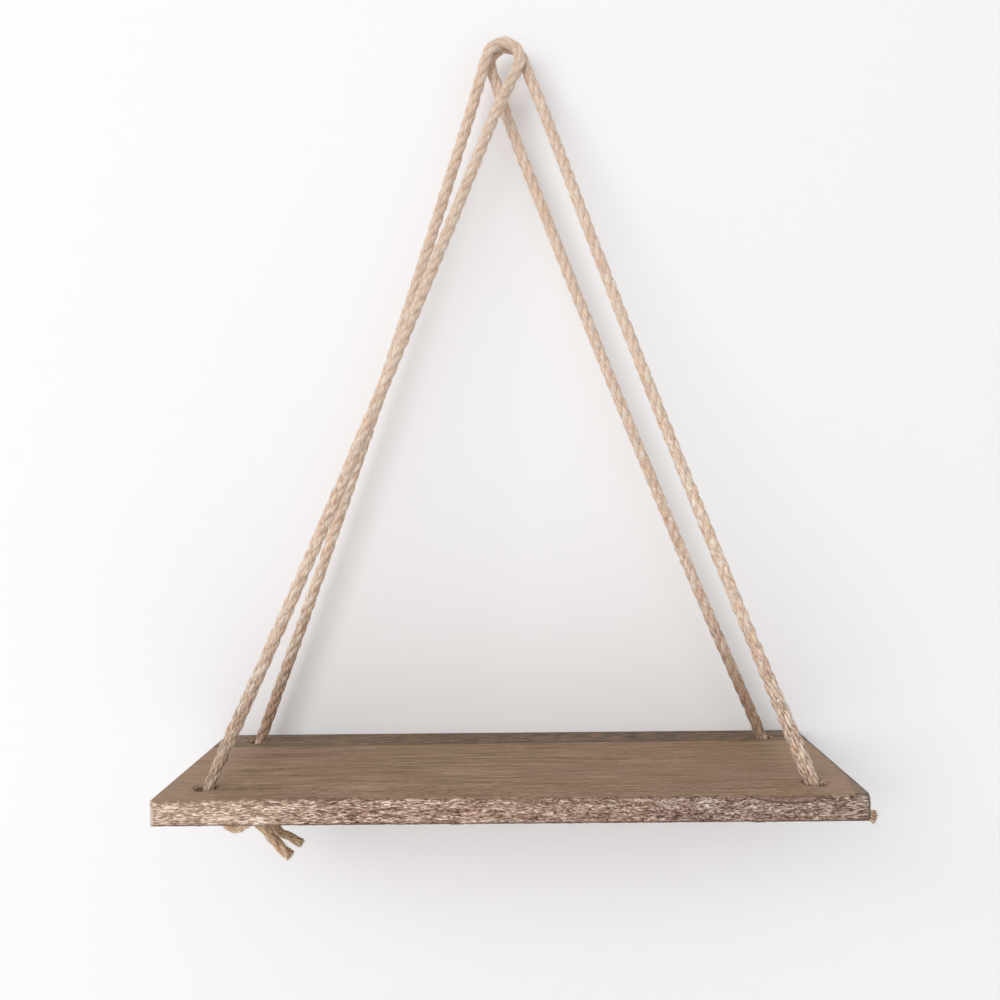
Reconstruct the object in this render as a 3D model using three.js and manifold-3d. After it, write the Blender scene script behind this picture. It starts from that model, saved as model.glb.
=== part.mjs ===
// Hanging rope shelf: one rough-edged board slung from a single hook by two jute ropes.
// Each rope is looped over the hook by its middle, its two ends go down through a front and a
// back hole near one end of the board, and they are tied together underneath in one knot.
// Units are millimetres. +Z is up, +Y points to the wall and +X runs along the board.
// The origin is the spot under the two rope loops where a hook carries them.
import * as THREE from 'three';
import { mergeVertices } from 'three/addons/utils/BufferGeometryUtils.js';
import Module from 'manifold-3d';

const wasm = await Module();
wasm.setup();

// The board
const boardLength = 432;
const boardDepth = 160;
const boardThickness = 16;
const boardShift = -3.2;          // the board's middle, measured from the hook
const hangHeight = 505;           // from the hook's seat down to the top face
const wallDistance = 20;          // from the hook's seat to the board's back edge
const backEase = 1.2;             // the small bevel along the back edge
const wornCorner = 4;             // the knocked front right corner, seen from above
const crispCorner = 1.5;          // the other three corners
const cornerSteps = 4;

// The rough-hewn front edge: the worn bevels above and below, and the wandering chip marks
const topBevelIn = 1.2;
const topBevelDrop = 1.8;
const bottomBevelIn = 1.4;
const bottomBevelRise = 1.6;
const hewDepth = 0.7;
const hewPitch = 9;
const hewLines = 4;               // chip lines up the face, counted from the bottom bevel
const hewTurnShares = [0.37, 0.91, 1.73];   // turns of each wave in one pitch
const hewLineTurnShare = 0.29;    // how far each line's waves start after the line below

// The rope holes
const holeDiameter = 14;
const holeEndInset = { front: 26, back: 29 };    // from the board's ends to the hole centres
const holeEdgeInset = { front: 26, back: 18 };   // from its front and its back edge
const rimWear = 1.5;              // bevel worn round both mouths
const cutOverrun = 2;
const holeSides = 20;

// The rope
const ropeDiameter = 8;
const ropeSides = 10;
const touchGap = 0.3;             // left between pieces that touch

// The loops over the hook, the necks below them and the legs down to the board
const loopRadius = 12;            // at the rope's centre
const loopSpread = 1.2;           // the two loops sit this far either side of the hook's middle
const loopTail = 10;              // straight rope that belongs to the loop
const loopStepAngle = Math.PI / 8;
const neckFootDrop = 50;          // from the hook's seat down to where the necks end
const legSag = 2.6;               // how far a leg's middle hangs below a straight line

// Where each neck ends along the board's length, seen from the hook's middle
const neckFeet = {
  left: { back: -27, front: -7.2 },
  right: { back: 2, front: 28.8 },
};

// Rope in and under the holes
const holeSlack = 2.2;            // the taut rope lies off the hole's middle by this much
const turnStart = 16;             // a leg ends this far above the board
const bendRadius = 6.5;
const runStart = 5;               // straight rope along the underside after the bend

// The knot: both ends of a rope laid side by side and tied in one overhand knot
const knotRopeDiameter = 7.2;     // the rope squeezed by the tight knot
const knotClearance = 0.4;        // between two turns in the knot
const looseLoop = 11;             // the loose knot's size, before it is drawn tight
const looseHeight = 11;
const loosePair = 5;              // from the middle of the pair to each rope in the loose knot
const looseSpan = 2.02;           // half the range of the loose knot's curve, which has no unit
const looseSamples = 160;
const liftPerStep = 0.03;         // the hanging board draws the knot up against its underside

// The steps that draw the knot tight, first on few nodes and then on more: the nodes' spacing
// as a share of the distance between two turns, the steps, how far each straightens the rope,
// and how often touching turns are pushed apart in it
const drawStageShares = [
  { spacingShare: 0.5, steps: 420, pullShare: 0.4, pushes: 2, lifting: 1 },
  { spacingShare: 0.34, steps: 60, pullShare: 0.2, pushes: 4, lifting: 1 },
  { spacingShare: 0.34, steps: 30, pullShare: 0.05, pushes: 8, lifting: 0 },
];
const pushShare = 1.4;            // how hard touching turns push each other off
const neighbourTurns = 2.2;       // rope nearer than this along itself can't be pushed off

// Each knot's place, and where its front and its back tail leave it and end, all from the
// line of the holes, the middle between them and the underside
const knots = {
  left: {
    middle: new THREE.Vector3(-9, 2.5, -24),
    tails: [
      [new THREE.Vector3(27, -6, -34), new THREE.Vector3(33, -7, -40), new THREE.Vector3(39, -7, -46)],
      [new THREE.Vector3(30, 5, -34), new THREE.Vector3(37, 6, -38), new THREE.Vector3(44, 6, -42)],
    ],
  },
  right: {
    middle: new THREE.Vector3(12, 12, -20),
    tails: [
      [new THREE.Vector3(38, 3, -21), new THREE.Vector3(48, -1, -22), new THREE.Vector3(57, -4, -24)],
      [new THREE.Vector3(38, 14, -20), new THREE.Vector3(46, 13, -21), new THREE.Vector3(54, 12, -22)],
    ],
  },
};

// Worked out from the sizes above
const ropeRadius = ropeDiameter / 2;
const holeRadius = holeDiameter / 2;
const boardTop = -hangHeight;
const underside = boardTop - boardThickness;
const backEdge = wallDistance;
const frontEdge = backEdge - boardDepth;
const boardMiddleY = (frontEdge + backEdge) / 2;
const holeY = { front: frontEdge + holeEdgeInset.front, back: backEdge - holeEdgeInset.back };
const knotY = (holeY.front + holeY.back) / 2;
const loopCentreZ = ropeRadius - loopRadius;
const runZ = underside - ropeRadius - touchGap;

const wood = new THREE.MeshStandardMaterial({ color: 0x8e765e, roughness: 0.85, metalness: 0 });
const jute = new THREE.MeshStandardMaterial({ color: 0xc8aa8c, roughness: 0.95, metalness: 0 });

const shelf = new THREE.Group();

function add(name, geometry, material) {
  const mesh = new THREE.Mesh(geometry, material);
  mesh.name = name;
  shelf.add(mesh);
}

function toSolid(geometry) {
  const bare = geometry.clone();
  bare.deleteAttribute('normal');
  bare.deleteAttribute('uv');
  const merged = mergeVertices(bare);
  return new wasm.Manifold(new wasm.Mesh({
    numProp: 3,
    vertProperties: new Float32Array(merged.attributes.position.array),
    triVerts: new Uint32Array(merged.index.array),
  }));
}

function toGeometry(solid) {
  const mesh = solid.getMesh();
  const geometry = new THREE.BufferGeometry();
  geometry.setAttribute('position', new THREE.BufferAttribute(new Float32Array(mesh.vertProperties), 3));
  geometry.setIndex(new THREE.BufferAttribute(new Uint32Array(mesh.triVerts), 1));
  geometry.computeVertexNormals();
  return geometry;
}

// How far the hewn face stands out at a place along the board, on one of its chip lines
function hew(x, line) {
  const turns = x / hewPitch + line * hewLineTurnShare * hewTurnShares.length;
  const waves = hewTurnShares.map((share, k) => Math.sin(Math.PI * (turns * share + line * k)));
  return hewDepth * waves.reduce((sum, wave) => sum + wave, 0) / hewTurnShares.length;
}

// How much a rounded corner takes off the front or back at a distance from the board's end
function cornerInset(radius, distance) {
  if (distance >= radius) return 0;
  return radius - Math.sqrt(radius ** 2 - (radius - distance) ** 2);
}

// Places along the board where it gets a cross-section: close together round the corners
function boardStations() {
  const half = boardLength / 2;
  const cornerPlaces = (radius) => Array.from({ length: cornerSteps }, (_, k) =>
    radius * (1 - Math.cos((Math.PI / 2) * (k / cornerSteps))));
  const left = cornerPlaces(crispCorner).map((d) => d - half);
  const right = cornerPlaces(wornCorner).map((d) => half - d).reverse();
  const start = crispCorner - half;
  const count = Math.round((half - wornCorner - start) / hewPitch);
  const middle = Array.from({ length: count + 1 }, (_, k) =>
    start + (half - wornCorner - start) * (k / count));
  return [...left, ...middle, ...right];
}

// One cross-section of the board as [y, z] pairs, from the back of the top face round to its front
function boardSection(x) {
  const toLeft = boardLength / 2 + x;
  const toRight = boardLength / 2 - x;
  const front = -boardDepth / 2 + cornerInset(crispCorner, toLeft) + cornerInset(wornCorner, toRight);
  const back = boardDepth / 2 - cornerInset(crispCorner, toLeft) - cornerInset(crispCorner, toRight);
  const section = [
    [back - backEase, 0],
    [back, -backEase],
    [back, backEase - boardThickness],
    [back - backEase, -boardThickness],
    [front + bottomBevelIn, -boardThickness],
  ];
  const faceHeight = boardThickness - topBevelDrop - bottomBevelRise;
  for (let line = 0; line < hewLines; line++) {
    const z = bottomBevelRise - boardThickness + faceHeight * (line / (hewLines - 1));
    section.push([front + hewDepth + hew(x, line), z]);
  }
  section.push([front + topBevelIn + hewDepth + hew(x, hewLines), 0]);
  return section;
}

function boardBlank() {
  const stations = boardStations();
  const sections = stations.map(boardSection);
  const around = sections[0].length;
  const positions = [];
  stations.forEach((x, i) => sections[i].forEach(([y, z]) => positions.push(x, y, z)));
  const index = [];
  for (let i = 0; i + 1 < stations.length; i++) {
    for (let k = 0; k < around; k++) {
      const a = i * around + k;
      const b = i * around + ((k + 1) % around);
      index.push(a, b + around, b, a, a + around, b + around);
    }
  }
  const last = (stations.length - 1) * around;
  const outline = sections[0].map(([y, z]) => new THREE.Vector2(y, z));
  const lastOutline = sections[stations.length - 1].map(([y, z]) => new THREE.Vector2(y, z));
  for (const [a, b, c] of THREE.ShapeUtils.triangulateShape(outline, [])) index.push(c, b, a);
  for (const [a, b, c] of THREE.ShapeUtils.triangulateShape(lastOutline, [])) {
    index.push(last + a, last + b, last + c);
  }
  const geometry = new THREE.BufferGeometry();
  geometry.setAttribute('position', new THREE.Float32BufferAttribute(positions, 3));
  geometry.setIndex(index);
  return geometry;
}

// The cutter for one rope hole, wider at both mouths where the rope has worn them
function holeCutter(x, y) {
  const wide = holeRadius + rimWear;
  const profile = [
    [0, cutOverrun], [wide + cutOverrun, cutOverrun], [holeRadius, -rimWear],
    [holeRadius, rimWear - boardThickness], [wide + cutOverrun, -boardThickness - cutOverrun],
    [0, -boardThickness - cutOverrun],
  ].map(([r, z]) => new THREE.Vector2(r, z)).reverse();
  const cutter = new THREE.LatheGeometry(profile, holeSides);
  cutter.rotateX(Math.PI / 2);
  cutter.translate(x, y, 0);
  return cutter;
}

function buildBoard() {
  let solid = toSolid(boardBlank());
  for (const side of [-1, 1]) {
    for (const place of ['front', 'back']) {
      const x = side * (boardLength / 2 - holeEndInset[place]);
      solid = solid.subtract(toSolid(holeCutter(x, holeY[place] - boardMiddleY)));
    }
  }
  const geometry = toGeometry(solid);
  geometry.translate(boardShift, boardMiddleY, boardTop);
  add('board', geometry, wood);
}

// Part of a rope's route, from one length along it to another
class Stretch extends THREE.Curve {
  constructor(route, from, to) {
    super();
    this.route = route;
    this.whole = route.getLength();
    this.from = from;
    this.to = to;
  }

  getPoint(t, target) {
    return this.route.getPointAt((this.from + (this.to - this.from) * t) / this.whole, target);
  }
}

function ropeTube(route, from, to, steps, diameter = ropeDiameter) {
  const section = new THREE.Shape(Array.from({ length: ropeSides }, (_, k) => {
    const angle = (2 * Math.PI * k) / ropeSides;
    return new THREE.Vector2(Math.cos(angle), Math.sin(angle)).multiplyScalar(diameter / 2);
  }));
  const extrudePath = new Stretch(route, from, to);
  return new THREE.ExtrudeGeometry(section, { steps, bevelEnabled: false, extrudePath });
}

// A smooth curve through a rope's points, and the length along it at each of them
function smoothRoute(points) {
  const route = new THREE.CatmullRomCurve3(points, false, 'centripetal');
  const divisions = 4 * ropeSides;
  route.arcLengthDivisions = (points.length - 1) * divisions;
  const lengths = route.getLengths();
  return { route, at: (k) => lengths[k * divisions] };
}

function holeMiddle(side, place) {
  const x = boardShift + side * (boardLength / 2 - holeEndInset[place]);
  return new THREE.Vector3(x, holeY[place], boardTop);
}

// Under the board, the middle of the line between a rope's two holes
function knotPlace(side) {
  return holeMiddle(side, 'front').lerp(holeMiddle(side, 'back'), 0.5).setZ(underside);
}

// The angle round a loop where its rope leaves in a straight line for a neck's foot
function leaveAngle(centre, foot, turn) {
  const towards = Math.atan2(foot.z - centre.z, foot.x - centre.x);
  const distance = Math.hypot(foot.x - centre.x, foot.z - centre.z);
  return towards + turn * Math.acos(loopRadius / distance);
}

function onLoop(centre, angle) {
  return new THREE.Vector3(
    centre.x + loopRadius * Math.cos(angle), centre.y, centre.z + loopRadius * Math.sin(angle));
}

// One side of a rope, from the neck down the leg, through its hole and round under the board
function ropeSide(side, centre, footX, place) {
  const hole = holeMiddle(side, place);
  const towardsHook = new THREE.Vector3(-hole.x, -hole.y, 0).setLength(holeSlack);
  const mouth = hole.clone().add(towardsHook);
  const fallen = (neckFootDrop + centre.z) / (hangHeight + centre.z);
  const foot = new THREE.Vector3(footX, centre.y + (mouth.y - centre.y) * fallen, -neckFootDrop);
  const along = mouth.clone().sub(foot).normalize();
  const sag = new THREE.Vector3(0, 0, -1).addScaledVector(along, along.z).setLength(legSag);
  const leg = [0, 0.2, 0.4, 0.6, 0.8].map((share) =>
    foot.clone().lerp(mouth, share).addScaledVector(sag, 4 * share * (1 - share)));
  const footOfLeg = mouth.clone().addScaledVector(along, -turnStart);
  const toKnot = Math.sign(knotY - hole.y);
  const bendY = hole.y + toKnot * (holeSlack + bendRadius);
  const bend = [0, 1, 2, 3, 4].map((k) => new THREE.Vector3(
    hole.x,
    bendY - toKnot * bendRadius * Math.cos((Math.PI / 8) * k),
    runZ + bendRadius - bendRadius * Math.sin((Math.PI / 8) * k)));
  const middle = new THREE.Vector3(hole.x, hole.y + toKnot * holeSlack, (boardTop + underside) / 2);
  const run = [runStart, runStart + ropeDiameter].map((further) =>
    new THREE.Vector3(hole.x, bendY + toKnot * further, runZ));
  return [...leg, footOfLeg, mouth, middle, ...bend, ...run];
}

// One rope from its back run under the board, over the hook and down to its front run
function wholeRope(side, name) {
  const centre = new THREE.Vector3(side * loopSpread, side * (ropeDiameter + touchGap) / 2, loopCentreZ);
  const back = ropeSide(side, centre, neckFeet[name].back, 'back');
  const front = ropeSide(side, centre, neckFeet[name].front, 'front');
  const leftAngle = (leaveAngle(centre, back[0], -1) + 2 * Math.PI) % (2 * Math.PI);
  const rightAngle = leaveAngle(centre, front[0], 1);
  const arcSteps = Math.round((leftAngle - rightAngle) / loopStepAngle);
  const arc = Array.from({ length: arcSteps + 1 }, (_, k) =>
    onLoop(centre, leftAngle + (rightAngle - leftAngle) * (k / arcSteps)));
  const neck = (foot, top) => [1, 2].map((k) => foot.clone().lerp(top, k / 3));
  const backNeck = neck(back[0], arc[0]);
  const frontNeck = neck(front[0], arc[arcSteps]);
  const points = [
    ...back.reverse(), ...backNeck, ...arc, ...frontNeck.reverse(), ...front,
  ];
  const { route, at } = smoothRoute(points);
  const backFoot = back.length - 1;
  const frontFoot = points.length - front.length;
  return {
    route,
    backRun: at(1),
    backMouth: at(back.length - 1 - 5),
    backFoot: at(backFoot),
    loopStart: at(backFoot + 1 + backNeck.length) - loopTail,
    loopEnd: at(frontFoot - 1 - frontNeck.length) + loopTail,
    frontFoot: at(frontFoot),
    frontMouth: at(frontFoot + 5),
    frontRun: at(points.length - 2),
  };
}

// The middle line of a loose overhand knot, in units of its own size, with the three crossings
// of its plan passing over and under in turn
function looseKnotPoint(t) {
  const height = -0.5 * t * (t ** 2 - 1.3225) * (t ** 2 - 3.8025);
  return new THREE.Vector3(
    looseLoop * (t ** 3 - 3 * t), looseLoop * (t ** 4 - 4 * t ** 2 + 2), looseHeight * height);
}

function evenlySpaced(points, spacing) {
  const lengths = [0];
  for (let i = 1; i < points.length; i++) lengths.push(lengths[i - 1] + points[i].distanceTo(points[i - 1]));
  const whole = lengths[lengths.length - 1];
  const count = Math.round(whole / spacing);
  const even = [];
  let i = 1;
  for (let k = 0; k <= count; k++) {
    const at = (whole * k) / count;
    while (i < points.length - 1 && lengths[i] < at) i++;
    const share = (at - lengths[i - 1]) / (lengths[i] - lengths[i - 1]);
    even.push(points[i - 1].clone().lerp(points[i], share));
  }
  return even;
}

// Both ends of one rope in the loose knot, from where they come along the underside to where
// their tails leave, measured from the line of the holes, the middle between them and the underside
function looseKnot(side, { middle, tails }) {
  return tails.map(([leave], k) => {
    const away = k === 0 ? -1 : 1;
    const runEnd = holeMiddle(side, k === 0 ? 'front' : 'back').setZ(runZ).sub(knotPlace(side));
    runEnd.y -= away * (holeSlack + bendRadius + runStart);
    const points = [
      runEnd,
      runEnd.clone().setY(runEnd.y - away * knotRopeDiameter),
      new THREE.Vector3(middle.x - 3 * looseLoop, middle.y + away * looseLoop, 2 * runEnd.z),
    ];
    for (let i = 0; i <= looseSamples; i++) {
      const t = looseSpan * ((2 * i) / looseSamples - 1);
      const step = looseSpan / looseSamples;
      const ahead = looseKnotPoint(t + step).sub(looseKnotPoint(t - step));
      const sideways = new THREE.Vector3(-ahead.y, ahead.x, 0).setLength(loosePair * away);
      points.push(looseKnotPoint(t).add(sideways).add(middle));
    }
    const out = new THREE.Vector3(middle.x + 3 * looseLoop, middle.y + away * loosePair, middle.z);
    return [...points, out, leave.clone()];
  });
}

// Pushes turns that lie too close off each other, and keeps all of them below the board
function pushApart(ropes, apart, reach) {
  const nodes = ropes.flatMap((rope, r) => rope.map((point, i) => ({ r, i, point })));
  const moves = nodes.map(() => ({ by: new THREE.Vector3(), hits: 0 }));
  const between = new THREE.Vector3();
  for (let a = 0; a < nodes.length; a++) {
    const p = nodes[a].point;
    for (let b = a + 1; b < nodes.length; b++) {
      const q = nodes[b].point;
      if (Math.abs(p.x - q.x) >= apart || Math.abs(p.y - q.y) >= apart) continue;
      if (nodes[a].r === nodes[b].r && nodes[b].i - nodes[a].i <= reach) continue;
      const distance = p.distanceTo(q);
      if (distance >= apart) continue;
      between.copy(p).sub(q).setLength((apart - distance) / 2);
      moves[a].by.add(between);
      moves[b].by.sub(between);
      moves[a].hits += 1;
      moves[b].hits += 1;
    }
  }
  nodes.forEach((node, n) => {
    if (node.i < 2 || node.i === ropes[node.r].length - 1) return;
    node.point.addScaledVector(moves[n].by, pushShare / Math.max(moves[n].hits, pushShare));
    node.point.z = Math.min(node.point.z, runZ - underside);
  });
}

// Draws the loose knot tight: every step straightens the ropes a little and pushes touching
// turns apart again, until the turns lie snug and nothing gives any more
function drawTight(loose) {
  const apart = knotRopeDiameter + knotClearance;
  let ropes = loose;
  for (const { spacingShare, steps, pullShare, pushes, lifting } of drawStageShares) {
    const spacing = apart * spacingShare;
    const reach = Math.round(neighbourTurns / spacingShare);
    for (let step = 0; step < steps; step++) {
      if (step === 0 || lifting) {
        ropes = ropes.map((rope) => [rope[0], ...evenlySpaced(rope.slice(1), spacing)]);
      }
      ropes = ropes.map((rope) => rope.map((point, i) => {
        if (i < 2 || i === rope.length - 1) return point.clone();
        const between = rope[i - 1].clone().add(rope[i + 1]).multiplyScalar(0.5);
        const moved = point.clone().lerp(between, pullShare);
        moved.z += lifting * liftPerStep;
        return moved;
      }));
      for (let push = 0; push < pushes; push++) pushApart(ropes, apart, reach);
    }
  }
  return ropes;
}

function buildKnot(side, name) {
  const knot = knots[name];
  const place = knotPlace(side);
  drawTight(looseKnot(side, knot)).forEach((rope, k) => {
    const points = [...rope, ...knot.tails[k].slice(1)].map((point) => point.clone().add(place));
    const { route } = smoothRoute(points);
    const whole = route.getLength();
    const steps = Math.round(whole / (ropeDiameter / 2));
    const tube = ropeTube(route, touchGap, whole, steps, knotRopeDiameter);
    add(`${name}_${k === 0 ? 'front' : 'back'}_end`, tube, jute);
  });
}

function buildRope(side, name) {
  const rope = wholeRope(side, name);
  const piece = (place, from, to, stepsPerDiameter) => {
    const steps = Math.ceil(((to - from) / ropeDiameter) * stepsPerDiameter);
    add(`${name}_${place}`, ropeTube(rope.route, from, to, steps), jute);
  };
  piece('loop', rope.loopStart, rope.loopEnd, 3);
  piece('back_neck', rope.backFoot, rope.loopStart - touchGap, 1.2);
  piece('front_neck', rope.loopEnd + touchGap, rope.frontFoot, 1.2);
  piece('back_leg', rope.backMouth + turnStart, rope.backFoot - touchGap, 0.25);
  piece('front_leg', rope.frontFoot + touchGap, rope.frontMouth - turnStart, 0.25);
  piece('back_turn', rope.backRun, rope.backMouth + turnStart - touchGap, 3);
  piece('front_turn', rope.frontMouth - turnStart + touchGap, rope.frontRun, 3);
  buildKnot(side, name);
}

buildBoard();
buildRope(-1, 'left');
buildRope(1, 'right');

export default shelf;
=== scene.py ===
# %% [markdown]
# # A hanging rope shelf
# One thick, rough-edged board hangs from a single hook by two jute ropes. Each rope is laid
# over the hook by its middle, its two ends pass down through a front and a back hole near one
# end of the board, and they are tied together underneath.
#
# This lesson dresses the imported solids: the ropes become real three-strand rope with loose
# fibres, and the board gets its hewn edge and its grain. Everything is in metres, +Z up, with
# the origin under the two loops where the hook carries them.

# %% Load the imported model
import math

import bpy
import numpy as np
from mathutils import Matrix, Vector


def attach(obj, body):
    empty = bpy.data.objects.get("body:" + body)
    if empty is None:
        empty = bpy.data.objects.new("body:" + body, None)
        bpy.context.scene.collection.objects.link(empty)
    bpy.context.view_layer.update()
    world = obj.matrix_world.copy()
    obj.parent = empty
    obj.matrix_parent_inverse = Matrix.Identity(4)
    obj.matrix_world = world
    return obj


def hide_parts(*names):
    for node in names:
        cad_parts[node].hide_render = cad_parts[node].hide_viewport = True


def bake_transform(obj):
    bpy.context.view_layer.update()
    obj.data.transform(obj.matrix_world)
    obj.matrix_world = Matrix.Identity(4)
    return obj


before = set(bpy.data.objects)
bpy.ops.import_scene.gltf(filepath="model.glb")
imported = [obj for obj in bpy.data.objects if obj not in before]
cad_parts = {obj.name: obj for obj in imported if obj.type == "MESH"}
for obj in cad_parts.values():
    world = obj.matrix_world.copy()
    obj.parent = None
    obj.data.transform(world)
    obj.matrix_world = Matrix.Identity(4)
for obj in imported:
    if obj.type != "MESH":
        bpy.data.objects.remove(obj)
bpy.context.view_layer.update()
bpy.ops.object.select_all(action="DESELECT")
MM = 0.001


def new_object(name, data):
    thing = bpy.data.objects.new(name, data)
    bpy.context.scene.collection.objects.link(thing)
    return thing


# %% [markdown]
# ## The camera
# The camera stands in front of the shelf at about the height of the ropes' middle, so it sees
# the board's top from a little above. A camera is set here by three small turns from looking
# straight at the wall, because the picture was taken by hand and is not quite level.

# %% Camera
LENS_WIDTH = 36.0
CAMERA_PLACE = Vector((0.0046, -0.7351, -0.3202))
PITCH, YAW, ROLL = math.radians(-0.65), math.radians(0.99), math.radians(-0.78)

turned = Matrix.Rotation(YAW, 3, "Z") @ Matrix.Rotation(PITCH, 3, "X")
turned = turned @ Matrix.Rotation(-ROLL, 3, "Y")
right, forward, up = (turned @ Vector(axis) for axis in ((1, 0, 0), (0, 1, 0), (0, 0, 1)))
camera_data = bpy.data.cameras.new("room_camera")
camera_data.lens = LENS_WIDTH
camera_data.sensor_width = LENS_WIDTH
camera = new_object("room_camera", camera_data)
facing = Matrix((right, up, -forward)).transposed().to_4x4()
camera.matrix_world = Matrix.Translation(CAMERA_PLACE) @ facing
bpy.context.scene.camera = camera
print("camera looks along", tuple(round(v, 3) for v in forward))

# %% [markdown]
# ## Where the ropes run
# A rope is one unbroken length, so it is drawn from one line: from one tail, through the
# knot, along the underside, up through the back hole, up the back leg, over the hook, and down
# the front leg to the other tail. The legs are taut, with only a slight sag, and the rope lies
# against the side of each hole that it is pulled to. The sizes are those of the solids, in
# millimetres. A smooth curve through a few chosen points gives such a line. Bezier handles
# would do too, but a curve that passes through its points is easier to keep in the holes.

# %% Sizes shared by the board and the ropes
BOARD_LENGTH, BOARD_DEPTH, BOARD_THICKNESS = 432.0, 160.0, 16.0
BOARD_SHIFT = -3.2
HANG_HEIGHT = 505.0
WALL_DISTANCE = 20.0
HOLE_DIAMETER = 14.0
RIM_WEAR = 1.5
END_INSET = {"front": 26.0, "back": 29.0}
EDGE_INSET = {"front": 26.0, "back": 18.0}
ROPE_DIAMETER = 8.0
TOUCH_GAP = 0.3
LOOP_RADIUS = 12.0
LOOP_SPREAD = 1.2
NECK_FOOT_DROP = 50.0
NECK_FEET = {"left": {"back": -27.0, "front": -7.2}, "right": {"back": 2.0, "front": 28.8}}
LEG_SAG = 2.6
HOLE_SLACK = 2.2
TURN_START = 16.0
BEND_RADIUS = 6.5
RUN_START = 5.0
ARC_STEP = math.pi / 8
SIDES = {"left": -1, "right": 1}

BOARD_TOP = -HANG_HEIGHT
UNDERSIDE = BOARD_TOP - BOARD_THICKNESS
FRONT_EDGE = WALL_DISTANCE - BOARD_DEPTH
HOLE_Y = {"front": FRONT_EDGE + EDGE_INSET["front"], "back": WALL_DISTANCE - EDGE_INSET["back"]}
KNOT_Y = (HOLE_Y["front"] + HOLE_Y["back"]) / 2
RUN_Z = UNDERSIDE - ROPE_DIAMETER / 2 - TOUCH_GAP


def with_length(vector, length):
    return vector * (length / np.linalg.norm(vector))


def hole_middle(side, place):
    x = BOARD_SHIFT + side * (BOARD_LENGTH / 2 - END_INSET[place])
    return np.array([x, HOLE_Y[place], BOARD_TOP])


def smooth_line(points, per=24):
    """A centripetal Catmull-Rom curve through the points, with so many samples to each stretch."""
    points = np.array(points, float)
    padded = np.vstack([2 * points[0] - points[1], points, 2 * points[-1] - points[-2]])
    share = np.linspace(0, 1, per, endpoint=False)[:, None]
    samples = []
    for a, b, c, d in zip(padded, padded[1:], padded[2:], padded[3:]):
        before, here, after = (math.sqrt(np.linalg.norm(q - p)) for p, q in ((a, b), (b, c), (c, d)))
        leave = ((b - a) / before - (c - a) / (before + here) + (c - b) / here) * here
        reach = ((c - b) / here - (d - b) / (here + after) + (d - c) / after) * here
        samples.append(b + leave * share + (3 * (c - b) - 2 * leave - reach) * share ** 2
                       + (2 * (b - c) + leave + reach) * share ** 3)
    return np.vstack([*samples, points[-1:]])


def length_along(line):
    return np.concatenate([[0], np.cumsum(np.linalg.norm(np.diff(line, axis=0), axis=1))])


def resampled(line, count):
    """The same line in so many even steps, and how far along it each sample lies."""
    lengths = length_along(line)
    at = np.linspace(0, lengths[-1], count + 1)
    return np.stack([np.interp(at, lengths, line[:, k]) for k in range(3)], axis=1), at


# %% One side of a rope, and a whole rope over the hook
def rope_side(side, centre, foot_x, place):
    hole = hole_middle(side, place)
    mouth = hole + with_length(np.array([-hole[0], -hole[1], 0]), HOLE_SLACK)
    fallen = (NECK_FOOT_DROP + centre[2]) / (HANG_HEIGHT + centre[2])
    foot = np.array([foot_x, centre[1] + (mouth[1] - centre[1]) * fallen, -NECK_FOOT_DROP])
    along = with_length(mouth - foot, 1)
    sag = with_length(np.array([0, 0, -1]) + along * along[2], LEG_SAG)
    leg = [foot + (mouth - foot) * t + sag * 4 * t * (1 - t) for t in (0, 0.2, 0.4, 0.6, 0.8)]
    to_knot = math.copysign(1, KNOT_Y - hole[1])
    bend_y = hole[1] + to_knot * (HOLE_SLACK + BEND_RADIUS)
    bend = [[hole[0], bend_y - to_knot * BEND_RADIUS * math.cos(a),
             RUN_Z + BEND_RADIUS - BEND_RADIUS * math.sin(a)] for a in ARC_STEP * np.arange(5)]
    middle = [hole[0], hole[1] + to_knot * HOLE_SLACK, (BOARD_TOP + UNDERSIDE) / 2]
    run = [[hole[0], bend_y + to_knot * further, RUN_Z]
           for further in (RUN_START, RUN_START + ROPE_DIAMETER)]
    return [*leg, mouth - along * TURN_START, mouth, middle, *bend, *run]


def leave_angle(centre, foot, turn):
    rise, reach = foot[2] - centre[2], foot[0] - centre[0]
    return math.atan2(rise, reach) + turn * math.acos(LOOP_RADIUS / math.hypot(rise, reach))


def over_the_hook(side, name):
    """The line from the back run under the board, up over the hook, to the front run."""
    centre = np.array([side * LOOP_SPREAD, side * (ROPE_DIAMETER + TOUCH_GAP) / 2,
                       ROPE_DIAMETER / 2 - LOOP_RADIUS])
    back = rope_side(side, centre, NECK_FEET[name]["back"], "back")
    front = rope_side(side, centre, NECK_FEET[name]["front"], "front")
    left = leave_angle(centre, back[0], -1) % (2 * math.pi)
    right = leave_angle(centre, front[0], 1)
    steps = round((left - right) / ARC_STEP)
    arc = [centre + LOOP_RADIUS * np.array([math.cos(a), 0, math.sin(a)])
           for a in np.linspace(left, right, steps + 1)]
    neck = lambda foot, top: [foot + (top - foot) * k / 3 for k in (1, 2)]
    per = 24
    line = smooth_line([*back[::-1], *neck(back[0], arc[0]), *arc,
                        *neck(front[0], arc[-1])[::-1], *front], per)
    return line[per:-per]


# %% [markdown]
# ## Tying the knots
# Both ends of a rope lie side by side and are tied in one overhand knot under the board. A
# knot is hard to draw by hand, so it is laid out loose from a formula and then drawn tight:
# each step straightens the ropes a little and pushes touching turns apart again. A rigid-body
# simulation could do this too, but this small rule is steady and gives the same knot each run.

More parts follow.
